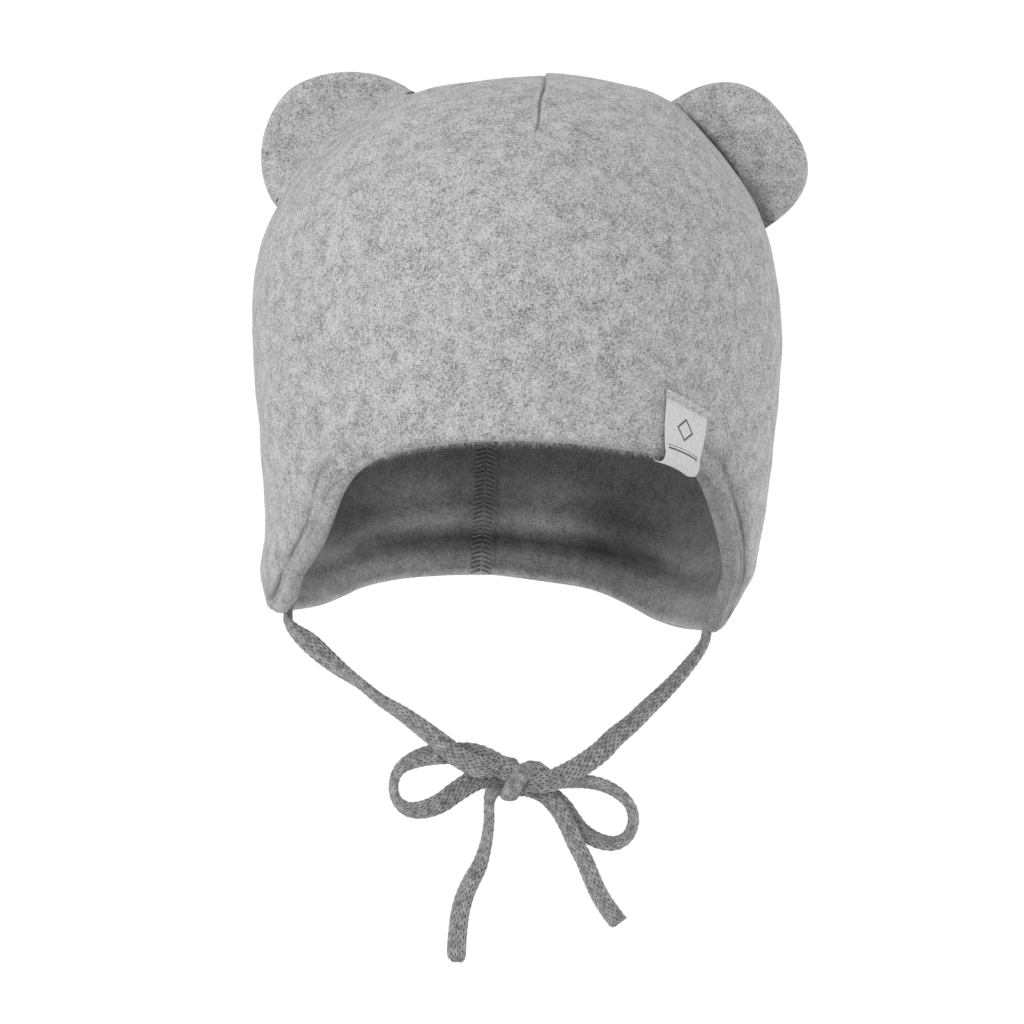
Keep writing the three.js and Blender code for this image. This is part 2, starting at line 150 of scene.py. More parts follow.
def weld(bm, thickness=0.0):
    """Welds corners that meet, gives the sheet its thickness, and turns faces outwards."""
    bmesh.ops.remove_doubles(bm, verts=bm.verts, dist=2e-6)
    bmesh.ops.recalc_face_normals(bm, faces=bm.faces)
    if thickness:
        bmesh.ops.solidify(bm, geom=bm.faces, thickness=thickness * MM)
        bmesh.ops.recalc_face_normals(bm, faces=bm.faces)


def dress_mesh(mesh, name, materials):
    """Makes a finished mesh an object that rides with the hat."""
    mesh.shade_smooth()
    for material in materials:
        mesh.materials.append(material)
    piece = add_object(name, mesh)
    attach(piece, "root")
    mesh.calc_loop_triangles()
    print(name, "has", len(mesh.loop_triangles), "triangles")
    return piece


def make_object(bm, name, materials):
    """Turns a bmesh into a dressed object."""
    mesh = bpy.data.meshes.new(name)
    bm.to_mesh(mesh)
    bm.free()
    return dress_mesh(mesh, name, materials)


# %% [markdown]
# Material helpers
#
# All finishes here are made from noise and a little arithmetic, because a melange yarn has no
# repeat. A few small helpers keep the node code readable: they add a node and fill its inputs, do
# one step of arithmetic, read a noise, and give the shader its plain numbers, colour and bump.


# %% Node helpers
def add_node(tree, kind, settings=None, **inputs):
    """Adds a shader node; inputs are numbers, colours or the outputs of other nodes."""
    made = tree.nodes.new(kind)
    for key, value in (settings or {}).items():
        setattr(made, key, value)
    for key, value in inputs.items():
        numbered = key[0] == "i" and key[1:].isdigit()
        socket = made.inputs[int(key[1:]) if numbered else key.replace("_", " ")]
        if isinstance(value, bpy.types.NodeSocket):
            tree.links.new(value, socket)
        else:
            socket.default_value = value
    return made


def sum_up(tree, operation, *values):
    """One arithmetic node on numbers or sockets."""
    inputs = {f"i{i}": value for i, value in enumerate(values)}
    return add_node(tree, "ShaderNodeMath", {"operation": operation}, **inputs).outputs[0]


def object_place(tree):
    """The place on the piece, in its own coordinates."""
    return add_node(tree, "ShaderNodeTexCoord").outputs["Object"]


def noise(tree, place, scale, detail=2.0, roughness=0.5):
    """The grey of a noise texture at a place."""
    made = add_node(tree, "ShaderNodeTexNoise", Vector=place, Scale=scale, Detail=detail,
                    Roughness=roughness)
    return made.outputs["Fac"]


def new_material(name, roughness, sheen):
    """A material with its plain numbers set on the shader itself."""
    material = bpy.data.materials.new(name)
    material.use_nodes = True
    shader = material.node_tree.nodes["Principled BSDF"]
    shader.inputs["Roughness"].default_value = roughness
    shader.inputs["Specular IOR Level"].default_value = 0.15
    shader.inputs["Sheen Weight"].default_value = sheen
    shader.inputs["Sheen Roughness"].default_value = 0.55
    return material, material.node_tree


def finish_shader(tree, colour, height=None, strength=0.5, distance=0.0):
    """Gives the shader its colour and, from a height, its fine bump."""
    shader = tree.nodes["Principled BSDF"]
    tree.links.new(colour, shader.inputs["Base Color"])
    if height is not None:
        bump = add_node(tree, "ShaderNodeBump", Height=height, Strength=strength, Distance=distance)
        tree.links.new(bump.outputs["Normal"], shader.inputs["Normal"])


# %% [markdown]
# The melange yarn of the cords
#
# The cord yarn is spun from light and dark fibres, so its grey wanders along the thread. A
# noise that is small against the cord gives the light and dark spots, and a finer one gives the
# single fibres as bump. A second, inner tube of the same yarn in a far darker grey fills the
# hollow: it is painted shade, and it shows through the gaps between the stitches.


# %% Cord materials
def yarn_material(name, dark, light):
    """Melange yarn between two greys."""
    material, tree = new_material(name, 0.9, 0.25)
    place = object_place(tree)
    spots = noise(tree, place, 620.0, 3.0, 0.6)
    fibre = noise(tree, place, 5200.0, 2.0, 0.6)
    mix = sum_up(tree, "ADD", sum_up(tree, "MULTIPLY", spots, 0.65),
                 sum_up(tree, "MULTIPLY", fibre, 0.35))
    ramp = add_node(tree, "ShaderNodeValToRGB", Fac=mix)
    for stop, position, grey in zip(ramp.color_ramp.elements, (0.36, 0.64), (dark, light)):
        stop.position, stop.color = position, (grey, grey, grey, 1)
    finish_shader(tree, ramp.outputs["Color"], fibre, 0.5, 0.00025)
    return material


cord_yarn = yarn_material("cord_yarn", 0.09, 0.33)
# near-black greys of the same yarn: painted shade for the tube's hollow inside
cord_hollow_shade = yarn_material("cord_hollow_shade", 0.015, 0.03)

# %% [markdown]
# The two cords and their bow
#
# One flat knitted cord is sewn into each flap. The right cord makes the left loop and the right
# tail. The left cord goes once round it as the knot, then makes the right loop and the left
# tail. A flat tube with a picture of knitting would look printed, so the yarn itself is modelled:
# it climbs round the tube as one long helix and bends into a loop at every stitch. Each row
# below is a point of the cord's middle line and the twist, in degrees, of its broad side away
# from the front.

# %% Cord routes
CORD_WIDTH = 6.2
CORD_THICKNESS = 2.4
KNOT_CENTRE = (3.3, -17.0, -185.5)
KNOT_PINCH = 0.24
# side, depth and height of each point, its twist, and 1 where the cord goes round the knot
LEFT_CORD = [
    (-59.3, -8.4, -141.6, 85, 0), (-59.4, -9.0, -144.9, 85, 0), (-59.1, -9.1, -146.4, 80, 0),
    (-57.4, -9.6, -148.4, 58, 0), (-53.1, -11.0, -151.6, 28, 0), (-47.5, -12.5, -156.0, 40, 0),
    (-42.1, -14.0, -159.7, 62, 0), (-38.9, -14.5, -161.8, 72, 0), (-33.9, -16.0, -165.4, 66, 0),
    (-28.2, -17.5, -168.6, 52, 0), (-22.9, -19.0, -172.0, 42, 0), (-16.1, -19.8, -176.8, 28, 0),
    (-12.0, -20.0, -179.8, 18, 0), (-6.6, -19.6, -182.0, 8, 0), (-2.0, -17.6, -181.4, 0, 0),
    (1.0, -14.4, -180.6, 0, 1), (2.6, -12.0, -184.0, 0, 1), (2.4, -12.6, -188.2, 0, 1),
    (1.6, -17.4, -189.6, 0, 1), (1.8, -21.2, -188.0, 0, 1), (3.2, -22.4, -185.2, 0, 1),
    (4.8, -21.2, -182.8, 0, 1), (8.0, -18.2, -182.6, 20, 0), (11.6, -16.8, -184.2, 50, 0),
    (14.5, -16.8, -185.0, 56, 0), (21.6, -16.8, -184.8, 56, 0), (26.4, -16.5, -185.6, 60, 0),
    (30.3, -16.0, -187.4, 66, 0), (33.6, -15.2, -190.3, 74, 0), (35.0, -14.4, -193.6, 76, 0),
    (34.9, -13.6, -196.8, 76, 0), (33.4, -12.7, -199.8, 72, 0), (30.3, -12.0, -201.4, 62, 0),
    (26.0, -11.4, -200.8, 54, 0), (22.0, -11.0, -198.6, 52, 0), (19.3, -10.9, -195.6, 50, 0),
    (16.5, -10.9, -192.3, 42, 0), (12.6, -10.9, -189.4, 30, 0), (7.6, -11.0, -187.2, 12, 0),
    (3.3, -11.8, -187.0, 10, 0), (0.0, -13.6, -187.4, 30, 0), (-2.6, -15.6, -188.8, 60, 0),
    (-3.6, -17.1, -191.4, 76, 0), (-3.5, -17.5, -196.5, 76, 0), (-4.0, -18.0, -202.2, 70, 0),
    (-5.4, -18.4, -207.9, 56, 0), (-7.2, -18.6, -211.7, 48, 0), (-8.9, -18.8, -215.8, 44, 0),
    (-10.0, -19.0, -220.3, 40, 0), (-10.5, -19.2, -226.0, 38, 0), (-10.6, -19.2, -230.8, 36, 0),
    (-10.4, -19.2, -234.2, 36, 0),
]
RIGHT_CORD = [
    (53.1, -6.4, -141.2, 85, 0), (53.0, -7.0, -144.4, 85, 0), (52.6, -7.1, -146.6, 84, 0),
    (51.3, -7.6, -149.0, 76, 0), (48.8, -9.0, -152.4, 68, 0), (45.5, -11.0, -156.4, 62, 0),
    (41.6, -12.5, -160.6, 56, 0), (37.3, -14.5, -164.8, 49, 0), (33.1, -16.5, -169.0, 43, 0),
    (28.6, -18.5, -172.8, 32, 0), (25.4, -19.6, -176.3, 20, 0), (20.8, -20.0, -180.0, 12, 0),
    (16.1, -20.0, -183.0, 6, 0), (11.5, -20.0, -185.0, 0, 0), (7.4, -19.6, -185.0, 0, 0),
    (3.3, -18.4, -183.9, 0, 0), (-1.0, -17.2, -181.8, 0, 0), (-4.8, -16.8, -179.9, 6, 0),
    (-8.6, -16.8, -178.8, 14, 0), (-12.9, -16.8, -178.8, 20, 0), (-19.0, -16.6, -179.4, 30, 0),
    (-24.2, -16.4, -181.1, 50, 0), (-27.9, -16.0, -183.8, 72, 0), (-29.2, -15.6, -187.8, 82, 0),
    (-28.3, -15.3, -191.8, 74, 0), (-25.3, -15.0, -194.2, 52, 0), (-21.2, -14.6, -194.3, 36, 0),
    (-16.5, -14.2, -192.4, 24, 0), (-12.4, -13.9, -189.2, 16, 0), (-7.3, -13.8, -185.8, 8, 0),
    (-3.0, -14.2, -184.6, 0, 0), (1.2, -14.6, -184.4, 0, 0), (5.0, -14.4, -185.4, 4, 0),
    (8.0, -13.9, -187.2, 20, 0), (11.6, -13.9, -189.2, 36, 0), (15.0, -14.0, -192.8, 42, 0),
    (17.5, -14.2, -196.7, 44, 0), (19.8, -14.6, -201.3, 44, 0), (22.7, -15.2, -206.4, 44, 0),
    (24.8, -15.6, -211.0, 42, 0), (27.3, -16.0, -215.6, 40, 0), (30.3, -16.4, -219.7, 36, 0),
    (32.6, -16.7, -222.4, 34, 0),
]


def cord_line(rows, step):
    """Evenly spaced points of a cord, with the way along, across and out of its flat side."""
    rows = np.array(rows, float)
    reach = distances(rows[:, :3])
    fine = np.linspace(0, reach[-1], 1600)
    gone = distances(smooth_line(reach, rows, fine))
    at = np.interp(np.linspace(0, gone[-1], round(gone[-1] / step) + 1), gone, fine)
    middle = smooth_line(reach, rows, at)
    along = unit(np.gradient(middle, axis=0))
    spoke = middle - np.array(KNOT_CENTRE)
    spoke[:, 0] = 0
    share = np.clip(np.interp(at, reach, rows[:, 4]), 0, 1)[:, None]
    out = np.array([0, -1, 0]) * (1 - share) + unit(spoke) * share
    for _ in range(12):
        out[1:-1] = (out[:-2] + 2 * out[1:-1] + out[2:]) / 4
    out = unit(out - (out * along).sum(1, keepdims=True) * along)
    side = np.cross(along, out)
    twist = np.radians(smooth(reach, rows[:, 3], at))[:, None]
    turned = side * np.cos(twist) - out * np.sin(twist)
    out = out * np.cos(twist) + side * np.sin(twist)
    return middle, along, turned * (1 - KNOT_PINCH * share), out


for cord_rows in (LEFT_CORD, RIGHT_CORD):
    print("cord length", round(float(distances(cord_line(cord_rows, 0.5)[0])[-1]), 1), "mm")

# %% [markdown]
# Knitting a cord
#
# The stitches of plain knitting follow simple waves: along each stitch the yarn swings once up
# and down the cord, twice from side to side, and twice in and out. Wrapped round a flat oval,
# these waves give the columns of V shapes that show on the real cord, with small dark holes
# between them.

# %% Knitted cords
WALES = 9
STITCH_PITCH = 1.9
STITCH_STEPS = 10
YARN_RADIUS = 0.34
BARE_END = 0.8
SHADE_CORE_INSET = (0.75, 0.6)


def oval_point(share):
    """Place and outward direction at an even share of the way round the cord's flat section."""
    turn = np.linspace(0, 2 * math.pi, 721)
    wide, thick = CORD_WIDTH / 2 - YARN_RADIUS, CORD_THICKNESS / 2 - YARN_RADIUS * 0.7
    gone = distances(np.stack([wide * np.cos(turn), thick * np.sin(turn)], axis=1))
    angle = np.interp((share % 1) * gone[-1], gone, turn)
    place = np.stack([wide * np.cos(angle), thick * np.sin(angle)], axis=1)
    return place, unit(np.stack([thick * np.cos(angle), wide * np.sin(angle)], axis=1))


def add_tube(bm, middle, side, out, wide, thick, sides):
    """Adds a closed oval tube along a line of points; its ends shrink to a point."""
    count = len(middle)
    ends = np.ones(count)
    ends[[0, -1]] = 0

    def place(u, w):
        i = np.rint(w * (count - 1)).astype(int)
        turn = u * 2 * math.pi
        return (
            middle[i]
            + side[i] * (wide * ends[i] * np.cos(turn))[:, None]
            + out[i] * (thick * ends[i] * np.sin(turn))[:, None]
        )

    add_grid(bm, sides, count - 1, place)


def knit_cord(name, rows, rounded, replaced):
    """A knitted cord along its route; its end may be rounded."""
    middle, along, side, out = cord_line(rows, 0.25)
    length = float(distances(middle)[-1])
    courses = round((length - 2 * BARE_END) / STITCH_PITCH)
    pitch = (length - 2 * BARE_END) / courses
    stitch = np.arange(courses * WALES * STITCH_STEPS) / STITCH_STEPS
    swing = stitch * 2 * math.pi
    gone = BARE_END + pitch * (stitch / WALES) + pitch * 0.72 * np.cos(swing)
    gone = np.clip(gone, 0.45, length - 0.45)
    at = gone / length * (len(middle) - 1)
    low = np.minimum(at.astype(int), len(middle) - 2)
    part = (at - low)[:, None]

    def blend(values):
        return values[low] * (1 - part) + values[low + 1] * part

    place, way = oval_point((stitch + 0.2 * np.sin(2 * swing)) / WALES)
    past = np.clip((gone - length + rounded) / max(rounded, 0.1), 0, 0.97)
    wave = 0.22 * YARN_RADIUS * np.cos(2 * swing)
    place = place * np.sqrt(1 - past**2)[:, None] + way * wave[:, None]
    yarn = blend(middle) + blend(side) * place[:, :1] + blend(out) * place[:, 1:]
    skin = blend(side) * way[:, :1] + blend(out) * way[:, 1:]
    flow = unit(np.gradient(yarn, axis=0))
    skin = unit(skin - (skin * flow).sum(1, keepdims=True) * flow)
    bm = bmesh.new()
    add_tube(bm, yarn, np.cross(flow, skin), skin, YARN_RADIUS, YARN_RADIUS * 0.85, 5)
    knitted = len(bm.faces)
    # an inner tube in the near-black yarn: painted shade for the hollow, seen between the stitches
    shade_core = slice(2, -10, 5)
    wide, thick = CORD_WIDTH / 2 - SHADE_CORE_INSET[0], CORD_THICKNESS / 2 - SHADE_CORE_INSET[1]
    add_tube(bm, middle[shade_core], side[shade_core], out[shade_core], wide, thick, 12)
    bm.faces.ensure_lookup_table()
    for face in bm.faces[knitted:]:
        face.material_index = 1
    weld(bm)
    cord = make_object(bm, name, [cord_yarn, cord_hollow_shade])
    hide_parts(*replaced)
    return cord


left_solids = ["tie_left", "loop_right", "tail_left", "bow_knot"]
left_cord = knit_cord("left_cord", LEFT_CORD, 2.6, left_solids)
right_cord = knit_cord("right_cord", RIGHT_CORD, 0.0, ["tie_right", "loop_left", "tail_right"])

# %% [markdown]
# Floor and light
#
# The hat hangs as a head would hold it, so the pale floor lies a little below the cords. The
# light is a studio's: an even white surround, a large soft lamp from the front left that gives
# the form its shade, and a weaker one from the right that lifts the far edge. The surround is
# bright enough for floor and background to run together without a horizon.

# %% Stage
SURROUND_STRENGTH = 1.05
FLOOR_HEIGHT = -0.30
LAMP_TARGET = (0, 0, -0.09)
bpy.context.scene.view_settings.view_transform = "Standard"
world = bpy.data.worlds.new("surround")
bpy.context.scene.world = world
world.use_nodes = True
background = world.node_tree.nodes["Background"]
background.inputs["Color"].default_value = (1, 1, 1, 1)
background.inputs["Strength"].default_value = SURROUND_STRENGTH

floor_paint, floor_tree = new_material("floor_paint", 0.9, 0.0)
floor_noise = add_node(floor_tree, "ShaderNodeTexNoise", Scale=3.0)
floor_tone = add_node(floor_tree, "ShaderNodeMapRange", Value=floor_noise.outputs["Fac"],
                      To_Min=0.96, To_Max=0.97)
finish_shader(floor_tree, floor_tone.outputs[0])
floor_bm = bmesh.new()
bmesh.ops.create_grid(floor_bm, x_segments=8, y_segments=8, size=6.0)
bmesh.ops.translate(floor_bm, verts=floor_bm.verts, vec=(0, 0, FLOOR_HEIGHT))
floor_mesh = bpy.data.meshes.new("floor")
floor_bm.to_mesh(floor_mesh)
floor_bm.free()
floor_mesh.materials.append(floor_paint)
add_object("floor", floor_mesh)


def add_lamp(name, place, size, watts):
    """A round soft lamp that looks at the hat."""
    lamp = bpy.data.lights.new(name, "AREA")
    lamp.shape, lamp.size, lamp.energy = "DISK", size, watts
    aim = (Vector(LAMP_TARGET) - Vector(place)).to_track_quat("-Z", "Y")
    turned = Matrix.Translation(Vector(place)) @ aim.to_matrix().to_4x4()
    add_object(name, lamp).matrix_world = turned
    print(name, "gives", watts, "W")


add_lamp("key", (-0.75, -1.0, 0.25), 0.7, 8.0)
add_lamp("side", (1.0, 0.35, 0.0), 0.8, 3.5)

# %% [markdown]
# The crown's form
#
# The outer surface is a stack of level ovals. Each row of the table gives an oval's half width
# and how far it sits to the side, as shares of the greatest half width, at a drop below the top
# of the crown. A direction round the head is a turn in degrees: 0 at the brow, positive to the
# hat's right side in the photograph, 180 at the nape.

# %% Form tables
HALF_WIDTH = 71.2
FRONT_DEPTH, BACK_DEPTH = 80.0, 87.0
WIDEST_DROP, BROW_DROP, NAPE_DROP, FLAP_DROP = 72.0, 100.4, 137.2, 148.6
SHELL_CLOTH, CLEARANCE, LINING_CLOTH = 2.0, 0.3, 1.6
WALL = SHELL_CLOTH + CLEARANCE + LINING_CLOTH
HEM_ROLL = 1.8
# drop as a share of the widest level's, half width, sideways shift
SECTIONS = np.array([
    (0, 0, 0.07), (0.017, 0.222, 0.071), (0.049, 0.364, 0.067), (0.097, 0.493, 0.047),
    (0.18, 0.62, 0.022), (0.278, 0.731, 0.006), (0.389, 0.829, -0.011), (0.528, 0.92, -0.022),
    (0.667, 0.968, -0.027), (0.833, 0.993, -0.025), (1, 1, -0.018), (1.222, 0.99, -0.011),
    (1.403, 0.97, -0.006), (1.583, 0.951, -0.001), (1.75, 0.937, -0.003), (1.833, 0.933, -0.011),
    (1.903, 0.916, -0.031), (1.986, 0.88, -0.043), (2.028, 0.861, -0.049), (2.07, 0.824, -0.051),
])
# turn from the brow, then how far the hem has come down to the flap, left and right
FRONT_HEM = np.array([
    (0, 0, 0), (10, 0.015, 0.003), (20, 0.045, 0.018), (28, 0.085, 0.03), (34, 0.13, 0.056),
    (39, 0.19, 0.096), (43, 0.27, 0.15), (46, 0.365, 0.225), (49, 0.49, 0.31), (52, 0.6, 0.4),
    (56, 0.71, 0.52), (60, 0.82, 0.66), (65, 0.92, 0.83), (72, 0.985, 0.965), (80, 1, 1),
    (90, 1, 1.004),
])
BACK_HEM = np.array([
    (90, 1, 1.017), (113, 1, 1.04), (129, 0.86, 0.9), (141, 0.48, 0.56), (154, 0.21, 0.24),
    (168, 0.06, 0.1), (180, 0, 0),
])


# %% Form functions
def hem_drop(turn):
    """Drop of the hem's lowest line at a turn."""
    turn = (turn + 180) % 360 - 180
    away = np.abs(turn)
    front = [smooth(FRONT_HEM[:, 0], FRONT_HEM[:, k], away) for k in (1, 2)]
    back = [smooth(BACK_HEM[:, 0], BACK_HEM[:, k], away) for k in (1, 2)]
    brow = BROW_DROP + (FLAP_DROP - BROW_DROP) * np.where(turn < 0, *front)
    nape = NAPE_DROP + (FLAP_DROP - NAPE_DROP) * np.where(turn < 0, *back)
    return np.where(away <= 90, brow, nape)


def shell_point(turn, drop):
    """Point of the outer surface at a turn and a drop."""
    place = np.sqrt(np.maximum(drop, 0) / WIDEST_DROP)
    rows = np.sqrt(SECTIONS[:, 0])
    half, shift = smooth(rows, SECTIONS[:, 1], place), smooth(rows, SECTIONS[:, 2], place)
    angle = np.radians(turn)
    depth = np.where(np.abs(turn) < 90, FRONT_DEPTH, BACK_DEPTH)
    return np.stack([
        HALF_WIDTH * (shift + half * np.sin(angle)),
        -depth * half * np.cos(angle),
        WALL - np.asarray(drop, float) + 0 * half,
    ], axis=-1)


def shell_normal(turn, drop):
    """Outward direction of the outer surface."""
    root = np.maximum(np.sqrt(np.maximum(drop, 0)), 0.05)
    down = shell_point(turn, (root + 0.01) ** 2) - shell_point(turn, (root - 0.01) ** 2)
    around = shell_point(turn + 0.01, root**2) - shell_point(turn - 0.01, root**2)
    return unit(np.cross(down, around))


def hem_stretch(turn):
    """How much longer a distance square to the hem is when it is measured straight down."""
    fall = hem_drop(turn + 1) - hem_drop(turn - 1)
    level = hem_drop(turn)
    run = np.linalg.norm(shell_point(turn + 1, level) - shell_point(turn - 1, level), axis=-1)
    return np.sqrt(1 + np.minimum(fall / run, 2) ** 2)


probe = shell_point(np.array([0.0, 90.0]), np.array([WIDEST_DROP, WIDEST_DROP]))
print("brow and side at the widest level:", probe.round(1).tolist())

# %% [markdown]
# Folds, seams and the dart
#
# Sewn cloth is never as even as its pattern. A short dart gathers the front panel from the top
# of the crown, the seams pull the cloth in, and the fleece has slow waves. All of these move the
# outer surface in or out by a millimetre or two, so one function of the place adds them up. The
# panels read the same function, and so they still meet in their seams.


# %% Relief of the outer cloth
def hump(value, centre, width):
    """A soft bump of height 1 round a centre."""
    return np.exp(-(((value - centre) / width) ** 2))


def step_up(value, soft):
    """A soft step from 0 below zero to 1 above it."""
    return 1 / (1 + np.exp(-value / soft))


def slow_waves(points, length, seed):
    """Soft uneven waves from about -1 to 1, the same on every run."""
    chance = np.random.default_rng(seed)
    total = np.zeros(len(points))
    for _ in range(9):
        way = unit(chance.normal(size=3))
        wave_length = length * chance.uniform(0.7, 1.5)
        total += np.sin(points @ way * 2 * math.pi / wave_length + chance.uniform(0, 6.3))
    return total / 4


# side, drop, width, height and depth of each soft dent of the front; a negative depth is a bulge
DENTS = [
    (-9.0, 1.0, 15.0, 9.0, 1.5),
    (22.0, 27.0, 12.0, 2.2, 0.55),
    (25.0, 22.0, 13.0, 3.0, -0.4),
    (-47.0, 60.0, 8.0, 16.0, 0.5),
    (47.0, 52.0, 8.0, 18.0, 0.5),
]
SEAM_DENT, SEAM_WIDTH = 0.7, 1.1
DART_LENGTH, SLIT_DEPTH, SLIT_WIDTH = 22.5, 1.3, 0.34


def relief(points):
    """How far the outer cloth stands out from its even form, in millimetres."""
    side, depth, drop = points[:, 0], points[:, 1], WALL - points[:, 2]
    out = 0.45 * slow_waves(points, 34, 5) + 0.12 * slow_waves(points, 9, 6)
    dart = 2.4 - 2.6 * drop / 17.3 + 0.25 * np.sin(drop / 2.4)
    length = np.clip((DART_LENGTH - drop) / 5, 0, 1) ** 0.7
    slit = SLIT_DEPTH * np.clip((drop + 1) / 4, 0.3, 1) * hump(side, dart, SLIT_WIDTH)
    lap = 0.35 * np.tanh((side - dart) / 0.5) * hump(side, dart, 7)
    out -= step_up(-depth, 1.2) * length * (slit - lap)
    out -= SEAM_DENT * hump(depth, 0, SEAM_WIDTH) * np.clip((drop + 4) / 10, 0, 1)
    out -= SEAM_DENT * hump(side, HALF_WIDTH * 0.07, SEAM_WIDTH) * step_up(depth, 1.2)
    for x, z, wide, tall, deep in DENTS:
        out -= deep * hump(side, x, wide) * hump(drop, z, tall) * step_up(-depth, 8)
    return out


print("relief at the brow:", relief(probe).round(2).tolist())

# %% [markdown]
# The melange fleece
#
# The outer cloth is brushed wool fleece: pale fibres over darker ones, lying in every direction.
# From a step away it shows soft blotches a few millimetres wide, from close up a fine grain with
# single hairs. Three noises give these sizes, and two stretched ones that lie across each other
# give the short strokes. The sheen stands for the fine upright nap that catches light at the
# edges.


# %% Fleece materials
# scale and weight of the blotches, the patches and the grain
NAP_SIZES = ((230.0, 0.18), (700.0, 0.12), (2300.0, 0.36))
# turn and stretch of the two kinds of stroke
STROKES = (((0.3, 0.5, 0.2), (1100, 1100, 2900)), ((1.2, 0.2, 0.9), (2900, 1100, 1100)))
STROKE_WEIGHT = 0.34


def fleece_material(name, tones, sheen):
    """Melange fleece of three greys, darkened by the painted shade that a per-point attribute
    holds.
    """
    material, tree = new_material(name, 0.95, sheen)
    place = object_place(tree)
    blotch, patch, grain = [
        sum_up(tree, "MULTIPLY", noise(tree, place, scale, roughness=0.55), weight)
        for scale, weight in NAP_SIZES
    ]
    strokes = []
    for turn, stretch in STROKES:
        mapping = add_node(tree, "ShaderNodeMapping", Vector=place, Rotation=turn, Scale=stretch)
        strokes.append(noise(tree, mapping.outputs[0], 1.0, detail=1.0))
    stroke = sum_up(tree, "MULTIPLY", sum_up(tree, "ADD", *strokes), 0.5)
    tone = sum_up(tree, "ADD", sum_up(tree, "ADD", blotch, patch),
                  sum_up(tree, "MULTIPLY_ADD", stroke, STROKE_WEIGHT, grain))
    ramp = add_node(tree, "ShaderNodeValToRGB", Fac=tone)
    stops = ramp.color_ramp.elements
    stops[0].position, stops[1].position = 0.4, 0.58
    stops[0].color, stops[1].color = (*[tones[0]] * 3, 1), (*[tones[2]] * 3, 1)
    middle = stops.new(0.485)
    middle.color = (*[tones[1]] * 3, 1)
    # painted shade: a per-point attribute scales the fleece's grey down
    shade = add_node(tree, "ShaderNodeAttribute", {"attribute_name": "painted_shade_amount"}).outputs["Fac"]
    colour = add_node(tree, "ShaderNodeVectorMath", {"operation": "SCALE"},
                      i0=ramp.outputs["Color"], Scale=sum_up(tree, "SUBTRACT", 1.0, shade))
    height = sum_up(tree, "ADD", sum_up(tree, "MULTIPLY", stroke, 0.6), grain)
    finish_shader(tree, colour.outputs[0], height, 0.6, 0.0006)
    return material


outer_fleece = fleece_material("outer_fleece", (0.12, 0.27, 0.4), 0.12)
# the lining's greys are lighter than the outer cloth's: its painted shade takes them down, and
# where little of it lies they give painted light
lining_fleece = fleece_material("lining_fleece", (0.2, 0.36, 0.52), 0.1)


def paint_shade_on(piece, amount_at):
    """Stores the painted shade that darkens the cloth at each corner, from 0 to 1."""
    mesh = piece.data
    places = np.zeros(len(mesh.vertices) * 3)
    mesh.vertices.foreach_get("co", places)
    layer = mesh.attributes.new("painted_shade_amount", "FLOAT", "POINT")
    layer.data.foreach_set("value", amount_at(places.reshape(-1, 3) / MM).astype(np.float32))


# %% [markdown]
# The three outer panels
#
# A panel is a grid whose rows run from the top of the crown to the hem and whose columns run
# round the head. The last rows turn in under the hem's round edge. Where the outer cloth ends on
# that edge changes round the head: hidden under it at the brow, and out at its front corner on
# the flaps, where the lining shows beside it.

# %% Outer panels
EDGE_ROWS = 8
# turn, and how far round the hem's edge the outer cloth comes there, in degrees
EDGE_SEAM = np.array([
    (-180, 95), (-110, 90), (-92, 30), (-80, -12), (-66, -26), (-52, -24), (-45, -5), (-38, 60),
    (-28, 100), (0, 108), (26, 105), (36, 90), (43, 20), (50, -24), (62, -32), (74, -26),
    (84, 0), (96, 50), (112, 90), (180, 95),
])
SINK = [1.0] * (EDGE_ROWS - 3) + [0.94, 0.8, 0.3]
EDGE_LEAD = 16
OUTER_SHEET = 0.9


def seam_place(turn):
    """Where the two cloths meet on the edge; below 0 it is tenths of a millimetre up the face."""
    return np.interp(turn, EDGE_SEAM[:, 0], EDGE_SEAM[:, 1])


def edge_point(turn, angle, share=1.0):
    """Point on the hem's round edge, from 0 at the outer face to 180 at the inner one."""
    swing = np.radians(np.maximum(angle, 0))
    height = HEM_ROLL - HEM_ROLL * np.sin(swing) * share - np.minimum(angle, 0) / 10
    depth = WALL / 2 - WALL / 2 * np.cos(swing) * share
    drop = hem_drop(turn) - height * hem_stretch(turn)
    return shell_point(turn, drop) - shell_normal(turn, drop) * depth[..., None]


def face_drop(turn, share, lip=HEM_ROLL):
    """Drop of a row of cloth above the hem's edge."""
    return (hem_drop(turn) - lip * hem_stretch(turn)) * share**2


def edge_rows(turn, row, rows, start):
    """Points of the rows that go round the edge from a starting angle to the seam and sink in."""
    past = np.clip((row - rows) / (EDGE_ROWS - 2), 0, 1)
    sink = np.array([1.0, *SINK])[np.clip(row - rows, 0, EDGE_ROWS).astype(int)]
    return edge_point(turn, start + (seam_place(turn) - start) * past, sink)


def outer_panel(name, turns, rows, replaced):
    """One outer panel, with a column at each turn."""
    last = rows + EDGE_ROWS

    def place(u, w):
        turn = turns[np.rint(u * (len(turns) - 1)).astype(int)]
        row = np.rint(w * last)
        start = np.minimum(seam_place(turn) - EDGE_LEAD, 0)
        drop = face_drop(turn, np.minimum(row / rows, 1), HEM_ROLL - start / 10)
        on_face = shell_point(turn, drop)
        point = np.where((row > rows)[:, None], edge_rows(turn, row, rows, start), on_face)
        fade = np.clip(1 - (row - rows) / (EDGE_ROWS - 1), 0, 1)
        return point + shell_normal(turn, drop) * (relief(point) * fade)[:, None]

    bm = bmesh.new()
    add_grid(bm, len(turns) - 1, last, place)
    weld(bm, OUTER_SHEET)
    panel = make_object(bm, name, [outer_fleece])
    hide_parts(replaced)
    return panel


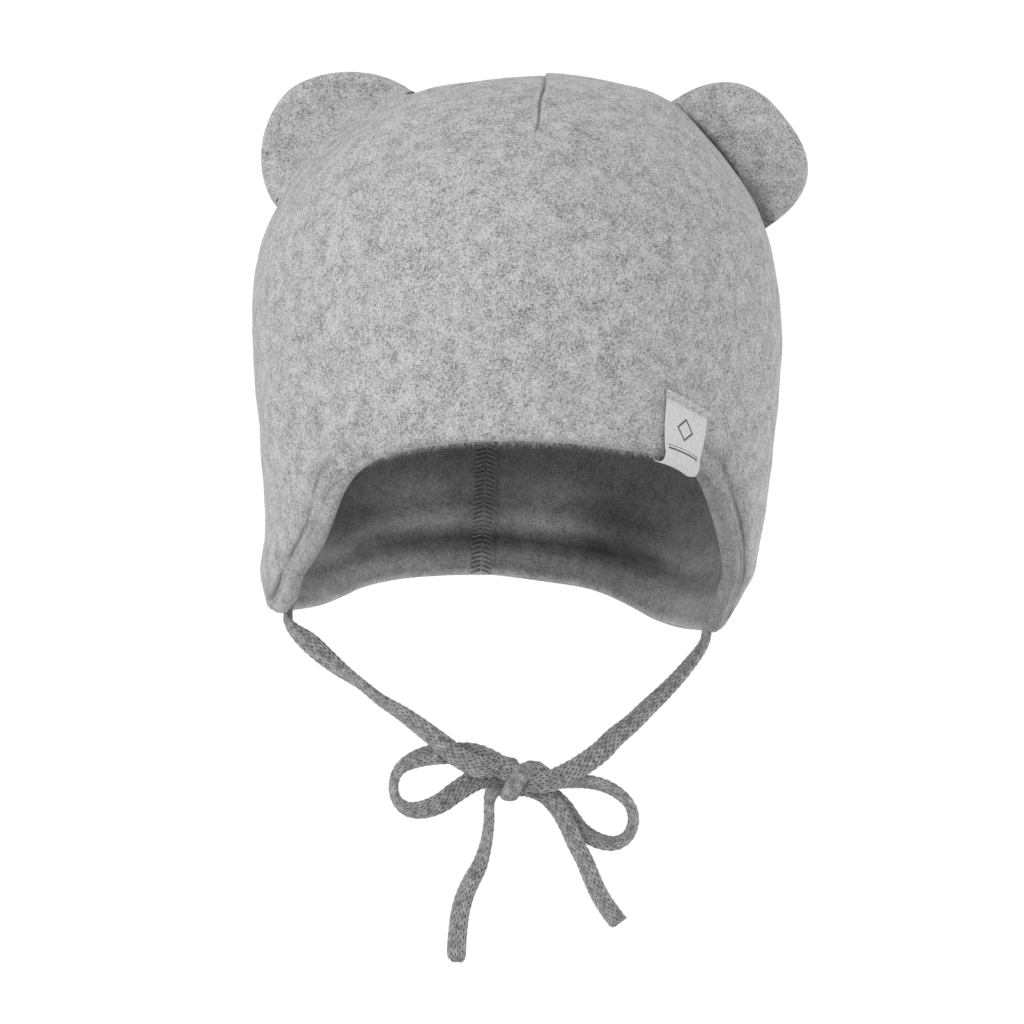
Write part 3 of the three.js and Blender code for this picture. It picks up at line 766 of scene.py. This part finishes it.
front_turns = np.concatenate([
    np.linspace(-90, -5, 76), np.linspace(-4.7, 4.7, 30), np.linspace(5, 90, 76),
])
left_turns, right_turns = np.linspace(-180, -90, 66), np.linspace(90, 180, 66)
front_fleece = outer_panel("front_fleece", front_turns, 120, "front_panel")
back_left_fleece = outer_panel("back_left_fleece", left_turns, 96, "back_panel_left")
back_right_fleece = outer_panel("back_right_fleece", right_turns, 96, "back_panel_right")


def above_hem(points):
    """Turn round the head and height above the hem, square to its edge, of some points."""
    turn = np.degrees(np.arctan2(points[:, 0], -points[:, 1]))
    return turn, (hem_drop(turn) - WALL + points[:, 2]) / hem_stretch(turn)


def outer_painted_shade(points):
    """Painted shade along the seam near the front edge of each flap, broader and darker on the
    right.
    """
    turn, height = above_hem(points)
    wide = np.where(turn > 0, 0.42, 0.19) * hump(height, 3, 7)
    narrow = 0.6 * hump(height, HEM_ROLL + 2.9, 0.7)
    return np.clip(hump(np.abs(turn), 64, 26) * (narrow + wide), 0, 0.8)


# painted shade on the front panel's flaps
paint_shade_on(front_fleece, outer_painted_shade)

# %% [markdown]
# The lining
#
# The lining is one cap inside the outer cloth. Its lower edge rolls out to meet the outer panels
# on the hem. Above the nape it has a cross fold, and a seam runs up the middle of the back,
# pressed flat to one side.


# %% Lining
def lining_relief(points):
    """How far the lining's inner face is pushed outwards, away from the head."""
    side, depth, drop = points[:, 0], points[:, 1], WALL - points[:, 2]
    back = step_up(depth - 30, 6)
    seam = 0.9 * hump(side, -2.2, 0.45) - 0.35 * hump(side, -6.0, 2.8)
    return 0.35 * slow_waves(points, 26, 11) + back * seam


LINING_ROWS = 110
LINING_SHEET = 0.7
# height above the hem, width and depth of the cross fold and of the swellings beside it
NAPE_FOLD = ((12.2, 2.0, 1.7), (18.4, 4.0, -1.9), (6.6, 3.0, -0.7))
lining_turns = np.concatenate([np.linspace(-180, -174.5, 20), np.linspace(-174, 180, 236)])


def lining_place(u, w):
    """Points of the lining's inner face, and round the hem's edge to the seam."""
    turn = lining_turns[np.rint(u * (len(lining_turns) - 1)).astype(int)]
    row = np.rint(w * (LINING_ROWS + EDGE_ROWS))
    drop = face_drop(turn, np.minimum(row / LINING_ROWS, 1))
    height = (hem_drop(turn) - drop) / hem_stretch(turn)
    nape = np.clip((np.abs(turn) - 112) / 26, 0, 1)
    fold = nape * sum(deep * hump(height, centre, wide) for centre, wide, deep in NAPE_FOLD)
    outward = shell_normal(turn, drop)
    face = shell_point(turn, drop) - outward * WALL
    pushed = (fold + lining_relief(face)) * np.clip((height - HEM_ROLL) / 3, 0, 1)
    face = face + outward * pushed[:, None]
    at_edge = (row > LINING_ROWS)[:, None]
    return np.where(at_edge, edge_rows(turn, row, LINING_ROWS, 180.0), face)


# side, drop, width, height and darkness of each patch of painted shade; a negative one is painted
# light
LINING_SHADE_PATCHES = (
    (32, 122, 9, 12, 0.14), (-50, 117, 8, 12, 0.14), (54, 138, 11, 12, -0.42),
    (-50, 138, 12, 9, -0.2),
)


def lining_painted_shade(points):
    """Painted shade over the lining, darker in the fold and on the rim, less where light is
    painted.
    """
    side, depth, drop = points[:, 0], points[:, 1], WALL - points[:, 2]
    turn, height = above_hem(points)
    back = step_up(depth - 12, 8)
    # painted shade over all the lining, with a darker band of it along the cross fold
    shade = 0.58 + 0.36 * back * hump(height, 12.3, 2.6) * step_up(side + 40, 5)
    # painted light: less shade on two patches high in the back
    shade -= back * hump(drop, 117, 8) * (0.52 * hump(side, -24, 13) + 0.46 * hump(side, 11, 14))
    # painted light along the low band of the back
    shade -= back * 0.34 * hump(height, 3, 6.5)
    for x, z, wide, tall, dark in LINING_SHADE_PATCHES:
        shade += dark * hump(side, x, wide) * hump(drop, z, tall)
    # painted shade on the hem's rim, heavier on the right side
    rim = np.where(turn > 0, 0.58, 0.42) - 0.05 * np.clip(height, 0, 5)
    share = np.clip((7 - height) / 3, 0, 1) * (1 - back)
    return np.clip(shade * (1 - share) + rim * share, 0, 0.85)


lining_bm = bmesh.new()
add_grid(lining_bm, len(lining_turns) - 1, LINING_ROWS + EDGE_ROWS, lining_place)
weld(lining_bm, LINING_SHEET)
lining_cloth = make_object(lining_bm, "lining_cloth", [lining_fleece])
# painted shade on the lining, and painted light where it is less
paint_shade_on(lining_cloth, lining_painted_shade)
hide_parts("lining")

# %% [markdown]
# The ears
#
# Each ear is two fleece half rounds sewn together, turned and lightly filled, with its open edge
# caught in the seam over the head. A sphere has the right kind of surface, so a unit sphere is
# pressed into the ear's outline, thin at its rim. The left ear's front runs smoothly down onto
# the crown, with its edge folded under the cloth there, and the right ear has a groove at its
# foot.

# %% Ears
EAR_REACH, EAR_EDGE, EAR_PAD, EAR_BULGE = 22.6, 2.6, 6.4, 3.8
# how far from the ear's heart its front edge folds under, and how deep that edge goes
EAR_FOLD, FOLD_DEPTH, EDGE_DEPTH = 0.86, 0.35, 1.4
FOOT_END = 0.03
GROOVE_WIDTH = 2.2


def surface_tree(piece):
    """A search tree that finds where a straight line meets a piece."""
    mesh = piece.data
    corners = [v.co.copy() for v in mesh.vertices]
    return BVHTree.FromPolygons(corners, [tuple(p.vertices) for p in mesh.polygons])


crown_tree = surface_tree(front_fleece)


def crown_front(point):
    """Depth of the crown's front at a side and height, or None beside the crown."""
    hit = crown_tree.ray_cast(Vector((point[0], -150, point[2])) * MM, Vector((0, 1, 0)))[0]
    return None if hit is None else hit.y / MM


def fillet(share, start, start_slope, end):
    """A smooth curve from a start with a slope to an end without one."""
    rise = share * share * (3 - 2 * share)
    return start + (end - start) * rise + start_slope * share * (1 - share) ** 2


def ear_outline(angle, share, chord, fullness, tall, lean, run_in):
    """Place of the ear's outline along and away from its foot, and the share of the way there."""
    if angle >= -1e-9:
        wide = abs(math.cos(angle)) ** (2 / fullness) * math.copysign(1, math.cos(angle))
        rise = max(math.sin(angle), 0.0) ** (2 / fullness)
        return wide * chord / 2 + lean * rise * EAR_REACH, tall * rise * EAR_REACH, share
    foot = EAR_BULGE * math.sin(angle) ** 2 + 1.0 * math.sin(angle)
    if run_in:
        folded = max(share - EAR_FOLD, 0) / (1 - EAR_FOLD)
        foot -= run_in * math.sin(-angle) ** 0.6 * (1 - folded)
        share = min(share / EAR_FOLD, 1)
    return math.cos(angle) * chord / 2, foot, share


def make_ear(name, side, top, foot, fullness, tall, lean, setback, apron, groove, replaced):
    """One ear; apron is how far its front runs in over the crown, groove how deep it dips there."""
    ends_at = np.array([top, foot]) * WIDEST_DROP
    high, low = shell_point(np.array([side * 90.0] * 2), ends_at)
    middle, chord = (high + low) / 2, np.linalg.norm(low - high)
    down = (low - high) / chord
    away = np.array([side * abs(down[2]), 0, abs(down[0])])
    heart = EAR_REACH * 0.4
    bm = bmesh.new()
    bmesh.ops.create_uvsphere(bm, u_segments=128, v_segments=56, radius=1.0)
    for v in bm.verts:
        x, y, z = v.co
        share, angle = min(math.hypot(x, y), 1.0), math.atan2(y, x)
        run_in = apron if z < 0 else 0
        u, outline, reach = ear_outline(angle, share, chord, fullness, tall, lean, run_in)
        up = heart + (outline - heart) * reach
        swell = math.sqrt(max(1 - share**2.4, 0))
        thick = (EAR_EDGE * abs(z) ** 0.5 * (1 - swell) + EAR_PAD * swell) / 2
        point = middle + down * u * reach + away * up
        along = u * reach / chord + 0.5
        ends = 1 - (2 * along - 1) ** 2
        point[1] += setback + math.copysign(thick, z) * min(1, abs(z) * 3)
        if z < 0:
            dip = groove * (1.4 * max(along, 0) ** 3 - 0.35)
            point[1] += dip * math.exp(-(((up - EAR_BULGE * ends) / GROOVE_WIDTH) ** 2))
        ends = max(ends, 0)
        blend = apron * ends ** 0.3
        if blend > 0.3 and up < blend:
            inner = [
                crown_front(middle + down * u * reach + away * (k - blend)) for k in (0, 0.3)
            ]
            cover = crown_front(point)
            taper = min(ends / FOOT_END, 1)
            front = setback - thick / 2
            if None not in inner:
                slope = (inner[1] - inner[0]) / 0.3 * 2 * blend
                laid = fillet((up + blend) / (2 * blend), inner[0], slope, front)
                point[1] += min(laid - front, 0) * taper * (1 if z < 0 else 0.5)
            if z < 0 and cover is not None and angle < 0:
                sink = min(max((share - 0.6) / 0.24, 0), 1)
                sink = sink * sink * (3 - 2 * sink)
                laid = min(point[1], cover) * (1 - sink) + (cover + FOLD_DEPTH) * sink
                laid += EDGE_DEPTH * max((share - EAR_FOLD) / (1 - EAR_FOLD), 0) ** 1.5
                point[1] += (laid - point[1]) * taper * min(1, abs(z) * 3)
        v.co = point * MM
    bmesh.ops.recalc_face_normals(bm, faces=bm.faces)
    ear = make_object(bm, name, [outer_fleece])
    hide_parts(replaced)
    return ear


left_ear = make_ear("left_ear", -1, 0.097, 0.54, 1.75, 0.985, 0.06, -3.0, 8.0, 0.0, "ear_left")
right_ear = make_ear("right_ear", 1, 0.083, 0.535, 2.6, 1.0, 0.07, -3.5, 0.0, 5.0, "ear_right")

# %% [markdown]
# The woven label
#
# A pale woven tape is folded over the brow edge and caught with one bar of stitches at its top.
# Its face is plain but for a small diamond and two thin lines, woven in a darker thread. The
# weave is bump on the tape's own coordinates, so it follows the fold.

# %% Label
LABEL_WIDTH, LABEL_HEIGHT, LABEL_TURN, LABEL_TILT = 13.8, 15.6, 35.4, 1.2
TAPE_SHEET = 0.42
# height above the hem and depth of each bend of the label, from its top in front to its end inside
LABEL_ROUTE = np.array([
    (15.6, -0.6), (9.4, -0.6), (3.6, -0.6), (0.9, -0.95), (-0.8, 0.2), (-1.1, 1.95), (-0.8, 3.7),
    (0.9, 4.75), (3.6, 4.6), (7.2, 4.5), (12.0, 4.5),
])


def label_point(reach, share):
    """Point of the label, reach millimetres from its top, share from -1 to 1 across it."""
    height, depth = (smooth(distances(LABEL_ROUTE), LABEL_ROUTE[:, k], reach) for k in (0, 1))
    pair = shell_point(np.array([LABEL_TURN, LABEL_TURN + 1]), np.array([BROW_DROP] * 2))
    half_turn = LABEL_WIDTH / np.linalg.norm(pair[1] - pair[0]) / 2
    high = height / LABEL_HEIGHT
    turn = LABEL_TURN + share * half_turn * (0.86 + 0.14 * np.clip(high * 2, 0, 1))
    drop = hem_drop(turn) - (height - LABEL_TILT * share * high) * hem_stretch(turn)
    curl = 0.5 * np.clip(share, 0, 1) ** 3 * np.clip((12 - reach) / 8, -0.2, 1) * (reach < 16)
    return shell_point(turn, drop) - shell_normal(turn, drop) * (depth - curl)[..., None]


woven_tape, tape_tree = new_material("woven_tape", 0.75, 0.1)


def tape_sum(operation, *values):
    """One step of arithmetic in the tape's material."""
    return sum_up(tape_tree, operation, *values)


def near_line(place, centre, half_width):
    """1 on a thin line of the tape, 0 beside it."""
    away = tape_sum("ABSOLUTE", tape_sum("SUBTRACT", place, centre))
    return tape_sum("LESS_THAN", away, half_width)


tape_place = add_node(tape_tree, "ShaderNodeUVMap", {"uv_map": "weave"}).outputs["UV"]
tape_axes = add_node(tape_tree, "ShaderNodeSeparateXYZ", Vector=tape_place)
tape_u, tape_v = tape_axes.outputs["X"], tape_axes.outputs["Y"]
warp = tape_sum("SINE", tape_sum("MULTIPLY", tape_u, 2 * math.pi / 0.34))
weft = tape_sum("SINE", tape_sum("MULTIPLY", tape_v, 2 * math.pi / 0.3))
weave = tape_sum("MULTIPLY", warp, weft)
off_middle = tape_sum("ABSOLUTE", tape_sum("SUBTRACT", tape_u, LABEL_WIDTH / 2))
off_height = tape_sum("ABSOLUTE", tape_sum("SUBTRACT", tape_v, 7.2))
diamond = near_line(tape_sum("ADD", off_middle, off_height), 2.5, 0.32)
lines = tape_sum("MAXIMUM", *[near_line(tape_v, place, 0.22) for place in (12.1, 13.1)])
inset = tape_sum("LESS_THAN", off_middle, 5.6)
inked = tape_sum("MULTIPLY", tape_sum("MAXIMUM", diamond, lines), inset)
uneven = tape_sum("MULTIPLY_ADD", weave, 0.25, noise(tape_tree, tape_place, 1.4, 3.0))
tape_tone = add_node(tape_tree, "ShaderNodeMapRange", Value=uneven, From_Min=0.2, From_Max=0.8,
                     To_Min=0.4, To_Max=0.56)
thread = add_node(tape_tree, "ShaderNodeMix", {"data_type": "FLOAT"}, i0=inked,
                  i2=tape_tone.outputs[0], i3=0.07)
finish_shader(tape_tree, thread.outputs[0], weave, 0.4, 0.00012)

label_reach = float(distances(LABEL_ROUTE)[-1])
label_bm = bmesh.new()
label_uv = label_bm.loops.layers.uv.new("weave")
bmesh.ops.create_grid(label_bm, x_segments=24, y_segments=96, size=1, calc_uvs=True)
for face in label_bm.faces:
    for loop in face.loops:
        x, y = loop.vert.co[:2]
        loop[label_uv].uv = ((x + 1) / 2 * LABEL_WIDTH, (y + 1) / 2 * label_reach)
flat = np.array([v.co[:2] for v in label_bm.verts])
laid = label_point((flat[:, 1] + 1) / 2 * label_reach, flat[:, 0]) * MM
for corner, point in zip(label_bm.verts, laid):
    corner.co = point
bmesh.ops.solidify(label_bm, geom=label_bm.faces, thickness=TAPE_SHEET * MM)
bmesh.ops.recalc_face_normals(label_bm, faces=label_bm.faces)
label_tape = make_object(label_bm, "label_tape", [woven_tape])
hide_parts("label")

# %% [markdown]
# Stitches
#
# Two seams show their thread: the bar that holds the label, and the flat seam up the middle of
# the lining's back. The bar is a few thick stitches that overlap like a rope. The back seam
# shows two columns of short slanted stitches, laid on the lining where a straight line from the
# face opening meets it.

# %% Stitches
BAR_RADIUS, SEAM_RADIUS = 0.7, 0.3
# lowest and highest stitch of the back seam, their step and their slant, and where each column runs
SEAM_HEIGHTS, SEAM_SLANT = np.arange(-132.4, -64.0, 1.3), 1.1
SEAM_COLUMNS = ((-5.9, -3.0), (-6.2, -9.2))
stitch_thread = yarn_material("stitch_thread", 0.26, 0.42)
# the back seam's thread has the dark greys of the shaded lining round it: painted shade
seam_thread = yarn_material("seam_thread", 0.11, 0.2)


def sew(name, lines, radius, thread):
    """Threads along lines of points, flat against the cloth."""
    bm = bmesh.new()
    for points in lines:
        points = np.asarray(points, float)
        gone = distances(points)
        line = smooth_line(gone, points, np.linspace(0, gone[-1], len(points) * 4))
        flow = unit(np.gradient(line, axis=0))
        out = unit(np.cross(flow, np.cross(np.array([0.05, -1, 0.05]), flow)))
        add_tube(bm, line, np.cross(flow, out), out, radius, radius * 0.8, 8)
    weld(bm)
    return make_object(bm, name, [thread])


bar_out = shell_normal(np.full(4, LABEL_TURN), np.full(4, 88.0)) * 0.3
bar_fall, bar_step = np.array([1.5, 1.2, 0.8, 0.5]), np.array([-0.26, -0.1, 0.1, 0.26])
bar_lines = [
    label_point(bar_fall, middle + bar_step) + bar_out for middle in np.linspace(-0.8, 0.86, 6)
]
label_stitches = sew("label_stitches", bar_lines, BAR_RADIUS, stitch_thread)
lining_tree = surface_tree(lining_cloth)


def on_lining(side, height):
    """Point of the lining's back straight behind a side and height."""
    place = lining_tree.ray_cast(Vector((side, 20, height)) * MM, Vector((0, 1, 0)))[0]
    return np.array(place) / MM - np.array([0, 0.1, 0])


seam_lines = [
    [
        on_lining(inner + (outer - inner) * k, height + SEAM_SLANT * (1 - k))
        for k in (0, 0.5, 1)
    ]
    for height in SEAM_HEIGHTS
    for inner, outer in SEAM_COLUMNS
]
seam_stitches = sew("seam_stitches", seam_lines, SEAM_RADIUS, seam_thread)

# %% [markdown]
# Loose fibres
#
# Brushed fleece has no sharp edge: fine hairs stand off it all round. Hair particles would be
# lost in an export, so the hairs are real thin spikes. One spike is modelled, and many copies of
# it, each bent and turned its own way, are laid out with arrays and joined into one mesh.


# %% Fibres
FIBRE_RADIUS = 0.042
FIBRE_BEND = 0.55
BROW_FIBRES = 4200


def make_spike():
    """Corners and faces of one straight spike, 2 high, with a closed tip."""
    bm = bmesh.new()
    bmesh.ops.create_cone(bm, segments=3, radius1=1.0, radius2=0.3, depth=1.0, cap_ends=False)
    bmesh.ops.translate(bm, verts=bm.verts, vec=(0, 0, 0.5))
    top = [e for e in bm.edges if all(v.co.z > 0.9 for v in e.verts)]
    tip = bmesh.ops.extrude_edge_only(bm, edges=top)["geom"]
    tip = [g for g in tip if isinstance(g, bmesh.types.BMVert)]
    bmesh.ops.scale(bm, verts=tip, vec=(0.05, 0.05, 1))
    bmesh.ops.translate(bm, verts=tip, vec=(0, 0, 1.0))
    bmesh.ops.remove_doubles(bm, verts=tip, dist=0.2)
    bmesh.ops.recalc_face_normals(bm, faces=bm.faces)
    spike = np.array([v.co[:] for v in bm.verts])
    faces = [[v.index for v in f.verts] for f in bm.faces]
    bm.free()
    return spike, faces


def fibre_mesh(name, roots, ways, lengths):
    """One mesh of many thin curved spikes."""
    spike, faces = make_spike()
    chance = np.random.default_rng(21)
    ways = unit(ways)
    other = unit(np.cross(ways, chance.normal(size=ways.shape)))
    third = np.cross(ways, other)
    bend = chance.uniform(-FIBRE_BEND, FIBRE_BEND, len(roots))[:, None, None]
    up = (spike[:, 2] / 2)[None, :, None] * lengths[:, None, None]
    points = (
        roots[:, None] + ways[:, None] * up + other[:, None] * bend * up**2 / lengths[:, None, None]
        + (other[:, None] * spike[None, :, :1] + third[:, None] * spike[None, :, 1:2])
        * FIBRE_RADIUS
    ).reshape(-1, 3)
    size = len(spike)
    all_faces = [[c + k * size for c in f] for k in range(len(roots)) for f in faces]
    mesh = bpy.data.meshes.new(name)
    mesh.from_pydata(points * MM, [], all_faces)
    return dress_mesh(mesh, name, [hair_wool])


hair_wool, hair_tree = new_material("hair_wool", 0.8, 0.0)
hair_noise = noise(hair_tree, object_place(hair_tree), 400.0)
hair_tone = add_node(hair_tree, "ShaderNodeMapRange", Value=hair_noise, From_Min=0.3, From_Max=0.7,
                     To_Min=0.22, To_Max=0.5)
finish_shader(hair_tree, hair_tone.outputs[0])


def roots_on(piece, count, seed, wanted):
    """Seeded points spread over a piece's faces, with the way out of the cloth there."""
    mesh = piece.data
    areas, centres, normals = (np.zeros(len(mesh.polygons) * k) for k in (1, 3, 3))
    mesh.polygons.foreach_get("area", areas)
    mesh.polygons.foreach_get("center", centres)
    mesh.polygons.foreach_get("normal", normals)
    centres, normals = centres.reshape(-1, 3) / MM, normals.reshape(-1, 3)
    weight = areas * wanted(centres, normals)
    chance = np.random.default_rng(seed)
    pick = chance.choice(len(weight), count, p=weight / weight.sum())
    return centres[pick] + chance.normal(size=(count, 3)) * 0.3, normals[pick]


def outside(points, normals):
    """1 on the side of a piece that faces away from the head."""
    spoke = points - np.array([0, 3, -75])
    return ((spoke * normals).sum(1) > 0) * 1.0


def along_brow(points, normals):
    """1 on the outer cloth's lowest strip over the face."""
    turn, height = above_hem(points)
    return outside(points, normals) * (height < 1.6) * (np.abs(turn) < 46)


parts = [roots_on(*row) for row in (
    (front_fleece, 4500, 31, outside), (back_left_fleece, 1800, 32, outside),
    (back_right_fleece, 1800, 33, outside), (left_ear, 600, 34, outside),
    (right_ear, 600, 35, outside), (front_fleece, BROW_FIBRES, 37, along_brow))]
roots, normals = (np.concatenate([part[k] for part in parts]) for k in (0, 1))
count = len(roots)
at_brow = np.arange(count) >= count - BROW_FIBRES
chance = np.random.default_rng(36)
ways = normals * chance.uniform(0.1, 0.6, (count, 1)) + chance.normal(size=roots.shape) * 0.6
ways += normals * np.maximum(0, 0.12 - (ways * normals).sum(1, keepdims=True))
ways[at_brow] = chance.normal(size=(BROW_FIBRES, 3)) * 0.5 + np.array([0, -0.15, -0.8])
long, short = chance.uniform(0.8, 2.9, count), chance.uniform(0.4, 1.0, count)
outer_fibres = fibre_mesh("outer_fibres", roots, ways, np.where(at_brow, long, short))

# %% [markdown]
# The cloth pieces
#
# Each sewn panel was cut flat and then shaped by its seams. A panel's flat size is the length of
# the seams and of the girth round the head that it has to cover, and its flat area is what is
# left of that rectangle once the curves are cut. The label is a straight piece of tape.

# %% Sheets
outer_panels = ["front_fleece", "back_left_fleece", "back_right_fleece"]
for panel, flat, area, held, under in (
    (front_fleece, (0.236, 0.197), 0.0297, "stretched", ["lining"]),
    (back_left_fleece, (0.124, 0.196), 0.0188, "stretched", ["lining"]),
    (back_right_fleece, (0.124, 0.192), 0.0185, "stretched", ["lining"]),
    (lining_cloth, (0.466, 0.195), 0.0630, "stretched", outer_panels),
    (label_tape, (LABEL_WIDTH * MM, label_reach * MM), None, "folded", ["front_fleece"]),
):
    print(panel.name, "was cut from", [round(x * 1000) for x in flat], "mm")
